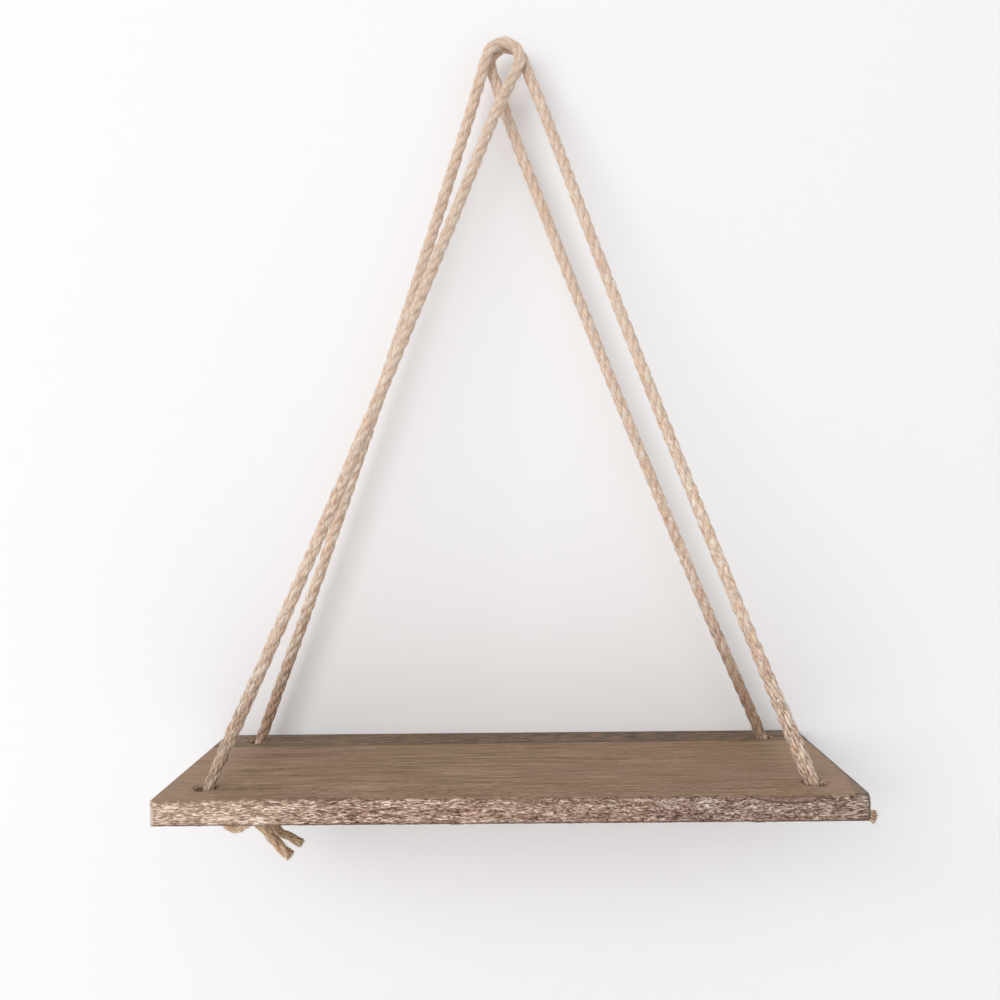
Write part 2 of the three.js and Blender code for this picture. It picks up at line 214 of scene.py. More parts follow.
# %% The knot's sizes
KNOT_ROPE_DIAMETER = 7.2
KNOT_CLEARANCE = 0.4
LOOSE_LOOP = 11.0
LOOSE_PAIR = 5.0
LOOSE_SPAN = 2.02
LOOSE_SAMPLES = 160
LIFT_PER_STEP = 0.03
DRAW_STAGES = [(0.5, 420, 0.4, 2, 1), (0.34, 60, 0.2, 4, 1), (0.34, 30, 0.05, 8, 0)]
PUSH_SHARE = 1.4
NEIGHBOUR_TURNS = 2.2
KNOT_MIDDLE = {"left": [-9, 2.5, -24], "right": [12, 12, -20]}
TAILS = {
    "left": [[[27, -6, -34], [33, -7, -40], [39, -7, -46]], [[30, 5, -34], [37, 6, -38], [44, 6, -42]]],
    "right": [[[38, 3, -21], [48, -1, -22], [57, -4, -24]],
              [[38, 14, -20], [46, 13, -21], [54, 12, -22]]],
}


# %% Loose knot, drawn tight
def loose_knot_point(t):
    height = -0.5 * t * (t ** 2 - 1.3225) * (t ** 2 - 3.8025)
    return LOOSE_LOOP * np.array([t ** 3 - 3 * t, t ** 4 - 4 * t ** 2 + 2, height])


def evenly_spaced(points, spacing):
    return resampled(points, int(length_along(points)[-1] / spacing + 0.5))[0]


def knot_place(side):
    place = (hole_middle(side, "front") + hole_middle(side, "back")) / 2
    place[2] = UNDERSIDE
    return place


def loose_strand(side, middle, leave, away, place):
    run_end = hole_middle(side, place) - knot_place(side)
    run_end[2] = RUN_Z - UNDERSIDE
    run_end[1] -= away * (HOLE_SLACK + BEND_RADIUS + RUN_START)
    points = [run_end, run_end - [0, away * KNOT_ROPE_DIAMETER, 0],
              np.array([middle[0] - 3 * LOOSE_LOOP, middle[1] + away * LOOSE_LOOP, 2 * run_end[2]])]
    step = LOOSE_SPAN / LOOSE_SAMPLES
    for i in range(LOOSE_SAMPLES + 1):
        t = LOOSE_SPAN * (2 * i / LOOSE_SAMPLES - 1)
        ahead = loose_knot_point(t + step) - loose_knot_point(t - step)
        sideways = with_length(np.array([-ahead[1], ahead[0], 0]), LOOSE_PAIR * away)
        points.append(loose_knot_point(t) + sideways + middle)
    out = [middle[0] + 3 * LOOSE_LOOP, middle[1] + away * LOOSE_PAIR, middle[2]]
    return np.array([*points, out, leave], float)


def push_apart(ropes, apart, reach):
    sizes = [len(rope) for rope in ropes]
    nodes = np.vstack(ropes)
    rope_of = np.repeat(np.arange(2), sizes)
    place_in = np.concatenate([np.arange(n) for n in sizes])
    between = nodes[:, None] - nodes[None]
    distance = np.linalg.norm(between, axis=2)
    near = (rope_of[:, None] == rope_of[None]) & (abs(place_in[:, None] - place_in[None]) <= reach)
    touching = (distance < apart) & ~near
    push = np.where(touching, (apart - distance) / 2 / np.maximum(distance, 1e-9), 0)
    moves = (push[:, :, None] * between).sum(axis=1)
    moves *= (PUSH_SHARE / np.maximum(touching.sum(axis=1), PUSH_SHARE))[:, None]
    free = (place_in >= 2) & (place_in < np.repeat(sizes, sizes) - 1)
    nodes[free] += moves[free]
    nodes[free, 2] = np.minimum(nodes[free, 2], RUN_Z - UNDERSIDE)
    return [nodes[:sizes[0]], nodes[sizes[0]:]]


def draw_tight(ropes):
    apart = KNOT_ROPE_DIAMETER + KNOT_CLEARANCE
    for spacing_share, steps, pull, pushes, lifting in DRAW_STAGES:
        reach = int(NEIGHBOUR_TURNS / spacing_share + 0.5)
        for step in range(steps):
            if step == 0 or lifting:
                ropes = [np.vstack([r[:1], evenly_spaced(r[1:], apart * spacing_share)]) for r in ropes]
            for k, rope in enumerate(ropes):
                pulled = rope.copy()
                pulled[2:-1] += pull * ((rope[1:-2] + rope[3:]) / 2 - rope[2:-1])
                pulled[2:-1, 2] += lifting * LIFT_PER_STEP
                ropes[k] = pulled
            for _ in range(pushes):
                ropes = push_apart(ropes, apart, reach)
    return ropes


def knot_lines(side, name):
    """The front and the back end of a rope, from the run under the board to the tail's end."""
    middle = np.array(KNOT_MIDDLE[name], float)
    loose = [loose_strand(side, middle, TAILS[name][0][0], -1, "front"),
             loose_strand(side, middle, TAILS[name][1][0], 1, "back")]
    tight = draw_tight(loose)
    return [smooth_line(np.vstack([rope, TAILS[name][k][1:]]) + knot_place(side), 6)
            for k, rope in enumerate(tight)]


# %% Two whole ropes
STEP = 1.1
ROUNDING_PASSES = 14
ROUNDED_FULLY, ROUNDED_AT_ALL = 6, 14


def ease(x, start, end):
    """From 0 to 1 as x goes from one value to the other, with a soft start and end."""
    t = np.clip((x - start) / (end - start), 0, 1)
    return t * t * (3 - 2 * t)


def round_corner(line, at, where):
    """The line with the sharp turn at a distance along it rounded off."""
    rounded = line.copy()
    for _ in range(ROUNDING_PASSES):
        rounded[1:-1] = (rounded[:-2] + 2 * rounded[1:-1] + rounded[2:]) / 4
    share = ease(abs(at - where), ROUNDED_AT_ALL, ROUNDED_FULLY)[:, None]
    return line * (1 - share) + rounded * share


ropes = {}
for name, side in SIDES.items():
    main = over_the_hook(side, name)
    front_end, back_end = knot_lines(side, name)
    line = np.vstack([back_end[::-1], main[1:-1], front_end])
    whole = length_along(line)[-1]
    line, at = resampled(line, int(whole / STEP))
    back_length, front_length = length_along(back_end)[-1], length_along(front_end)[-1]
    for corner in (back_length - KNOT_ROPE_DIAMETER, whole - front_length + KNOT_ROPE_DIAMETER):
        line = round_corner(line, at, corner)
    ropes[name] = {"line": line, "at": at, "back_end": back_length, "front_end": front_length}
    print(f"{name} rope, tail to tail: {whole:.0f} mm")

# %% [markdown]
# ## Laying the rope
# Jute rope has three strands laid round each other to the right, and each strand's yarns twist
# the other way, so that the fibres on a crown run nearly along the rope. A bump map on a plain
# tube would lose the scalloped outline, so each strand is its own tube that winds round the
# rope's line. The frame round the line is carried along without twist, so the lay is even. The
# rope is cut into three pieces where it bends when the shelf swings, and all three are sliced
# from one line and one lay, so that their strands meet. Its thickness and its colour change along
# the way: tight in the knot, opener just above the front hole, darker and browner lower down, and
# darker on the back legs, which is painted shade.

# %% Frames and radius along a rope
LAY_LENGTH = 33.0
STRAND_SHARE = 0.63
OUTLINE_FULLNESS = 1.05
YARN_BACK_TURN = 0.75
YARNS = 7
YARN_RELIEF = 0.04
SLACK_RELIEF = 0.35
STRAND_SIDES = 28
FRAY = 5.0
SLACK_REACH = 85.0
SLACK_OPENING = {"left": 0.06, "right": 0.17}
HOLE_NIP = {"left": 0.2, "right": 0.0}
TAIL_THINNING = {"left": 0.14, "right": 0.0}
# Painted shade and soil: the back legs are darker as painted shade, and the lower legs and the tails
# darker and browner.
SHADE_AND_SOIL = {
    "left": {"back": 0.85, "front": 0.45, "tails": 0.1},
    "right": {"back": 1.0, "front": 0.0, "tails": 0.5},
}
FRAY_OPENING = {"left": 0.35, "right": 0.85}
LAY_WANDER, LAY_WANDER_LENGTH = 0.25, 40


def carried_frames(line):
    tangents = np.gradient(line, axis=0)
    tangents /= np.linalg.norm(tangents, axis=1)[:, None]
    normal = np.cross(tangents[0], [0.3, 1, 0.2])
    normals = [with_length(normal, 1)]
    for before, here in zip(tangents, tangents[1:]):
        turn = np.cross(before, here)
        moved = normals[-1]
        if np.linalg.norm(turn) > 1e-9:
            angle = math.atan2(np.linalg.norm(turn), before @ here)
            moved = np.array(Matrix.Rotation(angle, 3, Vector(turn)) @ Vector(moved))
        moved = moved - here * (moved @ here)
        normals.append(with_length(moved, 1))
    normals = np.array(normals)
    return tangents, normals, np.cross(tangents, normals)


def rope_radius(rope, name):
    """Squeezed in the knot and the tails, full on the legs, opener or nipped at the front hole.

    Also how far the strands stand apart at the tails' ends, and above the front hole.
    """
    at, whole = rope["at"], rope["at"][-1]
    squeezed = np.zeros(len(at))
    for distance, end in ((at, rope["back_end"]), (whole - at, rope["front_end"])):
        squeezed = np.maximum(squeezed, 1 - ease(distance, end - 6, end + 8))
    radius = ROPE_DIAMETER / 2 + squeezed * (KNOT_ROPE_DIAMETER - ROPE_DIAMETER) / 2
    height = rope["line"][:, 2] - BOARD_TOP
    in_front = at > whole / 2
    slack = ease(height, SLACK_REACH, 14) * ease(height, -4, 8) * in_front
    nip = ease(height, 30, 2) * ease(height, -30, -16) * in_front
    fullness = OUTLINE_FULLNESS + slack * SLACK_OPENING[name] - nip * HOLE_NIP[name]
    open_end = np.maximum(1 - at / FRAY, 1 - (whole - at) / FRAY).clip(0, 1)
    radius = radius * (1 - TAIL_THINNING[name] * ease(at, 36, 20))
    return radius * np.where(squeezed > 0.99, 1, fullness), open_end, slack * SLACK_OPENING[name]


def rope_shade_and_soil(rope, name):
    """How darkened and browned the rope is, from 0 to 1: its lower stretches, and more so on the back
    legs, where it is painted shade.
    """
    height = rope["line"][:, 2] - BOARD_TOP
    at_back = rope["at"] < rope["at"][-1] / 2
    shade_and_soil = SHADE_AND_SOIL[name]
    on_leg = ease(height, 120, 5) * np.where(at_back, shade_and_soil["back"], shade_and_soil["front"])
    return np.where(height < 0, shade_and_soil["tails"], on_leg)


def slow_noise(at, scale, seed):
    """A smooth random wander along a length, about -1 to 1."""
    points = np.random.default_rng(seed).uniform(-1, 1, int(at[-1] / scale) + 4)
    places = at / scale
    low = places.astype(int)
    t = ease(places - low, 0, 1)
    return points[low] * (1 - t) + points[low + 1] * t


for seed, (name, rope) in enumerate(ropes.items()):
    rope["tangent"], rope["normal"], rope["side"] = carried_frames(rope["line"])
    rope["radius"], rope["open"], rope["slack"] = rope_radius(rope, name)
    rope["open"] *= FRAY_OPENING[name]
    rope["shade_and_soil"] = rope_shade_and_soil(rope, name)
    rope["turn"] = (2 * math.pi * rope["at"] / LAY_LENGTH
                    + LAY_WANDER * slow_noise(rope["at"], LAY_WANDER_LENGTH, seed))
    rope["seed"] = seed
    print(f"{name} rope: radius {rope['radius'].min():.2f} to {rope['radius'].max():.2f} mm")


# %% Strands
SWELL, SWELL_LENGTH = 0.04, 7
STRANDS_APART, ROPES_APART = 500, 2000


def add_values(mesh, name, values):
    attribute = mesh.attributes.new(name, "FLOAT", "POINT")
    attribute.data.foreach_set("value", values.astype(np.float32).ravel())


def new_piece(name, vertices, faces):
    """An object whose mesh is given in millimetres."""
    mesh = bpy.data.meshes.new(name)
    mesh.from_pydata((vertices * MM).tolist(), [], faces)
    mesh.update()
    return new_object(name, mesh)


def round_it(normal, side, angle, far=1.0):
    """The way out from a rope's line at an angle round it."""
    return normal * (far * np.cos(angle))[..., None] + side * (far * np.sin(angle))[..., None]


def tube_faces(rings, sides, start):
    i, k = np.meshgrid(np.arange(rings - 1), np.arange(sides), indexing="ij")
    a = start + i * sides + k
    b = start + i * sides + (k + 1) % sides
    return np.stack([a, b, b + sides, a + sides], axis=-1).reshape(-1, 4)


def lay_rope(name, rope, first, last):
    """Three strands from one sample of the rope's line to another, as one piece.

    The attribute lay is a place for the fibre pattern: round the yarns and along the rope, with
    the strands far apart, so that no two look the same.
    """
    cut = slice(first, last + 1)
    centre, normal, side = rope["line"][cut], rope["normal"][cut], rope["side"][cut]
    at, opened = rope["at"][cut], rope["open"][cut]
    theta = np.arange(STRAND_SIDES) * 2 * math.pi / STRAND_SIDES
    vertices, faces, caps, lay, depth = [], [], [], [], []
    for strand in range(3):
        seed = 20 + 3 * rope["seed"] + strand
        swell = 1 + SWELL * slow_noise(rope["at"], SWELL_LENGTH, seed)[cut]
        outer = rope["radius"][cut] * swell
        thick = outer * STRAND_SHARE * (1 + 0.15 * opened)
        off = outer * (1 - STRAND_SHARE) * (1 + opened)
        phi = rope["turn"][cut] + strand * 2 * math.pi / 3
        around = theta[None] + phi[:, None]
        relief = (YARN_RELIEF + SLACK_RELIEF * rope["slack"][cut])[:, None]
        psi = theta[None] + (1 + YARN_BACK_TURN) * phi[:, None]
        lobes = 1 + relief * np.cos(YARNS * psi)
        local_n = (off * np.cos(phi))[:, None] + thick[:, None] * lobes * np.cos(around)
        local_b = (off * np.sin(phi))[:, None] + thick[:, None] * lobes * np.sin(around)
        rings = (centre[:, None] + normal[:, None] * local_n[..., None]
                 + side[:, None] * local_b[..., None])
        start = sum(len(v) for v in vertices)
        vertices.append(rings.reshape(-1, 3))
        faces.extend(tube_faces(len(at), STRAND_SIDES, start).tolist())
        caps.append([start + k for k in range(STRAND_SIDES)][::-1])
        caps.append([start + (len(at) - 1) * STRAND_SIDES + k for k in range(STRAND_SIDES)])
        along = at[:, None] + STRANDS_APART * strand + ROPES_APART * rope["seed"]
        lay.append(np.stack([2 * np.cos(psi), 2 * np.sin(psi), np.broadcast_to(along, psi.shape)],
                            axis=-1).reshape(-1, 3))
        depth.append((np.hypot(local_n, local_b) / outer[:, None]).reshape(-1))
    piece = new_piece(name, np.vstack(vertices), faces + caps)
    mesh = piece.data
    mesh.attributes.new("lay", "FLOAT_VECTOR", "POINT").data.foreach_set(
        "vector", (np.vstack(lay) * MM).astype(np.float32).ravel())
    add_values(mesh, "crown", np.concatenate(depth))
    add_values(mesh, "shade_and_soil", np.tile(np.repeat(rope["shade_and_soil"][cut], STRAND_SIDES), 3))
    for polygon in mesh.polygons:
        polygon.use_smooth = len(polygon.vertices) == 4
    return piece


# %% [markdown]
# ## Loose fibres
# Jute is hairy, and the soft outline of the rope comes from its loose fibres. A hair system
# would not export, so each fibre is a thin three-sided tube that leaves the surface nearly
# along the rope and curls away. They are short, and there are more of them at the cut ends.

# %% Fibres along a stretch of rope
FIBRE_RADIUS = 0.08
FIBRE_BENDS = 5
FIBRE_LONGEST = 6.5
FIBRE_LEAN = 0.45
BRUSH_HAIRS = 260
HAIRS = {"over_hook": 600, "back": 4200, "front": 4200}


def hair_tubes(name, paths, normals, sides, shade_and_soil):
    """Thin three-sided tubes, tapered, as one piece: a path of a few points for each hair."""
    count, bends = paths.shape[:2]
    thin = FIBRE_RADIUS * (1 - 0.6 * np.linspace(0, 1, bends))
    turns = 2 * math.pi * np.arange(3) / 3
    ring = round_it(normals[:, None, None], sides[:, None, None], turns, thin[:, None])
    vertices = paths[:, :, None] + ring
    one = tube_faces(bends, 3, 0)
    starts = np.arange(count) * bends * 3
    quads = (starts[:, None, None] + one[None]).reshape(-1, 4).tolist()
    caps = [[s, s + 2, s + 1] for s in starts.tolist()]
    caps += [[s + 3 * bends - 3, s + 3 * bends - 2, s + 3 * bends - 1] for s in starts.tolist()]
    piece = new_piece(name, vertices.reshape(-1, 3), quads + caps)
    add_values(piece.data, "shade_and_soil", np.repeat(shade_and_soil, bends * 3))
    return piece


def loose_fibres(name, rope, first, last, count, seed, cut):
    """Hairs all along a stretch of rope, and a brush of them at its cut end, if it has one."""
    draw = np.random.default_rng(seed)
    index = draw.integers(first, last + 1, count)
    angle = draw.uniform(0, 2 * math.pi, count)
    length = draw.uniform(0.3, 1, count) ** 1.6 * FIBRE_LONGEST
    way = np.where(draw.random(count) < 0.5, -1, 1)[:, None]
    normal, side, tangent = rope["normal"], rope["side"], rope["tangent"]
    outward = round_it(normal[index], side[index], angle)
    along = tangent[index] * way
    across = np.cross(along, outward)
    root = rope["line"][index] + outward * (rope["radius"][index] * 0.88)[:, None]
    rise = draw.uniform(0.02, 1, count) ** 2 * FIBRE_LEAN
    curl = draw.normal(0, 0.3, count)
    shade_and_soil = rope["shade_and_soil"][index]
    if cut is not None:
        ends = draw.uniform(0, 1, BRUSH_HAIRS) ** 0.5 * rope["radius"][cut] * 0.85
        spin = draw.uniform(0, 2 * math.pi, BRUSH_HAIRS)
        out = round_it(normal[cut], side[cut], spin)
        onward = tangent[cut] * (1 if cut else -1)
        outward = np.vstack([outward, out])
        along = np.vstack([along, np.tile(onward, (BRUSH_HAIRS, 1))])
        across = np.cross(along, outward)
        root = np.vstack([root, rope["line"][cut] + out * ends[:, None]])
        length = np.concatenate([length, draw.uniform(0.4, 1.7, BRUSH_HAIRS)])
        rise = np.concatenate([rise, draw.uniform(-0.1, 0.5, BRUSH_HAIRS)])
        curl = np.concatenate([curl, draw.normal(0, 0.25, BRUSH_HAIRS)])
        shade_and_soil = np.concatenate([shade_and_soil, np.full(BRUSH_HAIRS, rope["shade_and_soil"][cut])])
    shares = np.linspace(0, 1, FIBRE_BENDS)
    reach = length[:, None] * shares
    paths = (root[:, None] + along[:, None] * reach[..., None]
             + outward[:, None] * (rise[:, None] * reach * (0.4 + 0.6 * shares))[..., None]
             + across[:, None] * (curl[:, None] * reach * shares)[..., None])
    return hair_tubes(name, paths, outward, across, shade_and_soil)


# %% Cut the ropes into pieces, and hide the solids that they stand for
SPLIT_Z = -33.0
SWAY_ZONE = (Vector((0, 0, -0.006)), Vector((0, 0, -0.030)))
SWING_ZONE = (Vector((0, 0, -0.036)), Vector((0, 0, -0.066)))
rope_pieces, fibre_pieces = [], []
for name, rope in ropes.items():
    below = rope["line"][:, 2] < SPLIT_Z
    top = np.argmax(rope["line"][:, 2])
    back_cut = np.flatnonzero(below[:top])[-1]
    front_cut = top + np.flatnonzero(below[top:])[0]
    last = len(rope["line"]) - 1
    parts = {
        "over_hook": (back_cut, front_cut, SWAY_ZONE, ("hook_loops", "rope_necks"), None, ["loop"]),
        "back": (0, back_cut, SWING_ZONE, ("rope_necks", "shelf"), 0,
                 ["back_neck", "back_leg", "back_turn", "back_end"]),
        "front": (front_cut, last, SWING_ZONE, ("rope_necks", "shelf"), last,
                  ["front_neck", "front_leg", "front_turn", "front_end"]),
    }
    for place, (start, end, zone, bodies, cut, node_ends) in parts.items():
        nodes = [f"{name}_{node_end}" for node_end in node_ends]
        piece = lay_rope(f"{name}_rope_{place}", rope, start, end)
        fibres = loose_fibres(f"{name}_fibres_{place}", rope, start, end, HAIRS[place],
                              len(fibre_pieces) + 40, cut)
        for thing in (piece, fibres):
            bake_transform(thing)
        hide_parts(*nodes)
        path = rope["line"][start:end + 1] * MM
        if place == "back":
            path = path[::-1]
        rope_pieces.append(piece)
        fibre_pieces.append(fibres)

# %% [markdown]
# ## The board
# The board is one plank of weathered wood. Its front edge was split or hewn and left rough, so
# it needs real relief there, while its other faces are flat. A grid gives the fine front face,
# and extruding it backwards gives the rest of the plank with long, plain faces. The rope holes
# are cut with a Boolean modifier, by a cutter that flares at both mouths, where rope has worn
# them.

# %% Plank
FRONT_COLUMNS, FRONT_ROWS = 760, 30
ROWS_BEHIND_FRONT = (1.2, 2.6, 4.5, 8.0, 14.0, 24.0, 33.0, 45.0, 58.0, 69.0, 82.0, 96.0, 108.0,
                     123.0, 140.0, 155.0, 158.8)
BOARD_MIDDLE_Z = (BOARD_TOP + UNDERSIDE) / 2


def make_active(piece):
    bpy.ops.object.select_all(action="DESELECT")
    piece.select_set(True)
    bpy.context.view_layer.objects.active = piece


def edit(piece):
    make_active(piece)
    bpy.ops.object.mode_set(mode="EDIT")
    bpy.ops.mesh.select_all(action="SELECT")


def slice_at(place, normal):
    """New edges all round where a plane crosses the mesh."""
    bpy.ops.mesh.select_all(action="SELECT")
    bpy.ops.mesh.bisect(plane_co=[c * MM for c in place], plane_no=normal)


def settle():
    """Back to object mode, with the edited object's place, turn and size moved into its mesh."""
    bpy.ops.object.mode_set(mode="OBJECT")
    bpy.ops.object.transform_apply(location=True, rotation=True, scale=True)
    bpy.ops.object.select_all(action="DESELECT")


bpy.ops.mesh.primitive_grid_add(
    x_subdivisions=FRONT_COLUMNS, y_subdivisions=FRONT_ROWS, size=1,
    location=(BOARD_SHIFT * MM, FRONT_EDGE * MM, BOARD_MIDDLE_Z * MM),
    rotation=(math.pi / 2, 0, 0))
plank = bpy.context.object
plank.name = "plank"
plank.scale = (BOARD_LENGTH * MM, BOARD_THICKNESS * MM, 1)
bpy.ops.object.transform_apply(location=True, rotation=True, scale=True)
edit(plank)
bpy.ops.mesh.extrude_region_move(TRANSFORM_OT_translate={"value": (0, BOARD_DEPTH * MM, 0)})
for distance in ROWS_BEHIND_FRONT:
    slice_at((0, FRONT_EDGE + distance, 0), (0, 1, 0))
bpy.ops.mesh.select_all(action="SELECT")
bpy.ops.mesh.normals_make_consistent(inside=False)
settle()
print("plank:", len(plank.data.vertices), "vertices")

# %% Rope holes
HOLE_SIDES = 40
CUTTER_OVERHANG = 1.0
wide = 1 + (RIM_WEAR + CUTTER_OVERHANG) / (HOLE_DIAMETER / 2)
cutters = []
for side in SIDES.values():
    for place in ("front", "back"):
        x, y, _ = hole_middle(side, place)
        bpy.ops.mesh.primitive_cylinder_add(
            vertices=HOLE_SIDES, radius=HOLE_DIAMETER / 2 * MM,
            depth=(BOARD_THICKNESS + 2 * CUTTER_OVERHANG) * MM,
            location=(x * MM, y * MM, BOARD_MIDDLE_Z * MM))
        cutter = bpy.context.object
        edit(cutter)
        for z in (BOARD_TOP - RIM_WEAR, UNDERSIDE + RIM_WEAR):
            slice_at((0, 0, z), (0, 0, 1))
        settle()
        for vertex in cutter.data.vertices:
            if vertex.co.z > BOARD_TOP * MM or vertex.co.z < UNDERSIDE * MM:
                vertex.co.x = x * MM + (vertex.co.x - x * MM) * wide
                vertex.co.y = y * MM + (vertex.co.y - y * MM) * wide
        cutters.append(cutter)
for cutter in cutters:
    modifier = plank.modifiers.new("rope_hole", "BOOLEAN")
    modifier.operation = "DIFFERENCE"
    modifier.solver = "EXACT"
    modifier.object = cutter
    bpy.context.view_layer.objects.active = plank
    bpy.ops.object.modifier_apply(modifier=modifier.name)
    bpy.data.objects.remove(cutter, do_unlink=True)
print("with holes:", len(plank.data.vertices), "vertices")

# %% [markdown]
# ## The hewn front edge
# Splitting leaves long shallow scallops that follow the grain, with sharp ridges between them,
# and the upper corner of the edge wanders. The front vertices are moved by layers of smooth
# noise that is stretched along the board. Ridged noise, which folds at zero, gives the sharp
# ridges. The front right corner is worn round, and the right end swells a little in the middle.

# %% Smooth noise in two directions
NOISE_SIZE = 256


def value_noise(u, v, seed):
    table = np.random.default_rng(seed).uniform(-1, 1, (NOISE_SIZE, NOISE_SIZE))
    iu, iv = np.floor(u).astype(int), np.floor(v).astype(int)
    tu, tv = ease(u - iu, 0, 1), ease(v - iv, 0, 1)
    pick = lambda a, b: table[(iu + a) % NOISE_SIZE, (iv + b) % NOISE_SIZE]
    low = pick(0, 0) * (1 - tu) + pick(1, 0) * tu
    high = pick(0, 1) * (1 - tu) + pick(1, 1) * tu
    return low * (1 - tv) + high * tv


def chips(x, z):
    """How far the hewn face stands back, in millimetres: broad scallops and small splinters."""
    drift = 1.1 * value_noise(x / 19, z / 9, 3) + 0.5 * value_noise(x / 6, z / 5, 13)
    broad = 1 - abs(value_noise(x / 15, (z + drift) / 3.4, 4)) * 1.6
    small = 1 - abs(value_noise(x / 4.2, (z + drift) / 1.5, 5)) * 1.6
    fine = value_noise(x / 1.9, (z + drift) / 0.9, 6)
    return 0.45 * broad + 0.42 * small + 0.26 * fine


# %% Where each vertex lies
coords = np.array([v.co for v in plank.data.vertices]) / MM
x, y, z = coords.T
from_front = y - FRONT_EDGE
to_right = BOARD_SHIFT + BOARD_LENGTH / 2 - x
to_left = x - (BOARD_SHIFT - BOARD_LENGTH / 2)
below_top = BOARD_TOP - z
above_under = z - UNDERSIDE
nearest_face = np.minimum(below_top, above_under)

# %% How far the hewn face stands back
CORNER_WEAR = 4.0
CHIP_DEPTH, CHIP_MIDDLE = 0.75, 0.9
RELIEF_REACH = 8
worn = np.clip(CORNER_WEAR - to_right, 0, None)
corner = CORNER_WEAR - np.sqrt(np.maximum(CORNER_WEAR ** 2 - worn ** 2, 0))
move_y = (1 - ease(from_front, 0.3, RELIEF_REACH)) * (CHIP_MIDDLE - CHIP_DEPTH * chips(x, z) + corner)
print(f"hewn face: {move_y.max():.1f} mm at its deepest")

# %% Worn long edges, and the lip of the top just behind the front one
EDGE_WEAR = 1.6
arris = 0.9 + 0.6 * value_noise(x / 9, 0 * x, 7) + 0.4 * value_noise(x / 3.1, 0 * x, 8)
top_edge = (1 - ease(below_top, 0, EDGE_WEAR)) * (1 - ease(from_front, 0, 1.0)) * arris
under_edge = (1 - ease(above_under, 0, EDGE_WEAR)) * (1 - ease(from_front, 0, 1.0)) * arris
lip = (1 - ease(below_top, 0, 0.4)) * (1 - ease(from_front, 1.0, 6.0))
move_y = move_y + 0.8 * top_edge + 0.9 * under_edge
move_z = -0.95 * top_edge - 0.12 * lip * (1 + value_noise(x / 5, y / 2, 9)) + 0.8 * under_edge

# %% Softened end edges, and the ends' swell
RIGHT_SWELL = 0.75
for distance in (to_left, to_right):
    end = (1 - ease(distance, 0, 0.4)) * (1 - ease(nearest_face, 0, 0.7))
    move_z = move_z + end * np.where(below_top < above_under, -0.5, 0.5)
at_end = 1 - ease(np.minimum(to_left, to_right), 0, 0.3)
bulge = RIGHT_SWELL * ease(from_front, 60, 10) * ease(below_top, 0, 5)
swell = np.where(x > BOARD_SHIFT, bulge - 0.1, -0.35)
wander = 0.4 * value_noise(0 * x, y / 11, 10) * ease(from_front, 2, 12)
move_x = np.sign(x - BOARD_SHIFT) * at_end * (swell + wander)

# %% Move the vertices
coords += np.stack([move_x, move_y, move_z], axis=1)
plank.data.vertices.foreach_set("co", (coords * MM).astype(np.float32).ravel())
plank.data.update()
edit(plank)
bpy.ops.mesh.remove_doubles(threshold=1e-6)
bpy.ops.mesh.normals_make_consistent(inside=False)
settle()
make_active(plank)
bpy.ops.object.shade_smooth_by_angle(angle=math.radians(38))
bpy.ops.object.select_all(action="DESELECT")
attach(plank, "shelf")
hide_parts("board")
print("hewn plank:", len(plank.data.polygons), "faces")

# %% [markdown]
# ## Shader helpers
# A material here is a small graph of nodes. These helpers add a node, join it and keep the
# code readable. Colours are written as they look on a screen, from 0 to 255, and turned into
# the linear values that shaders use. Most masks come from one node: a Map Range that rises
# smoothly from one place on the object to another.

# %% Node helpers
def paint(r, g, b):
    linear = lambda c: c / 12.92 if c <= 0.04045 else ((c + 0.055) / 1.055) ** 2.4
    return (linear(r / 255), linear(g / 255), linear(b / 255), 1.0)


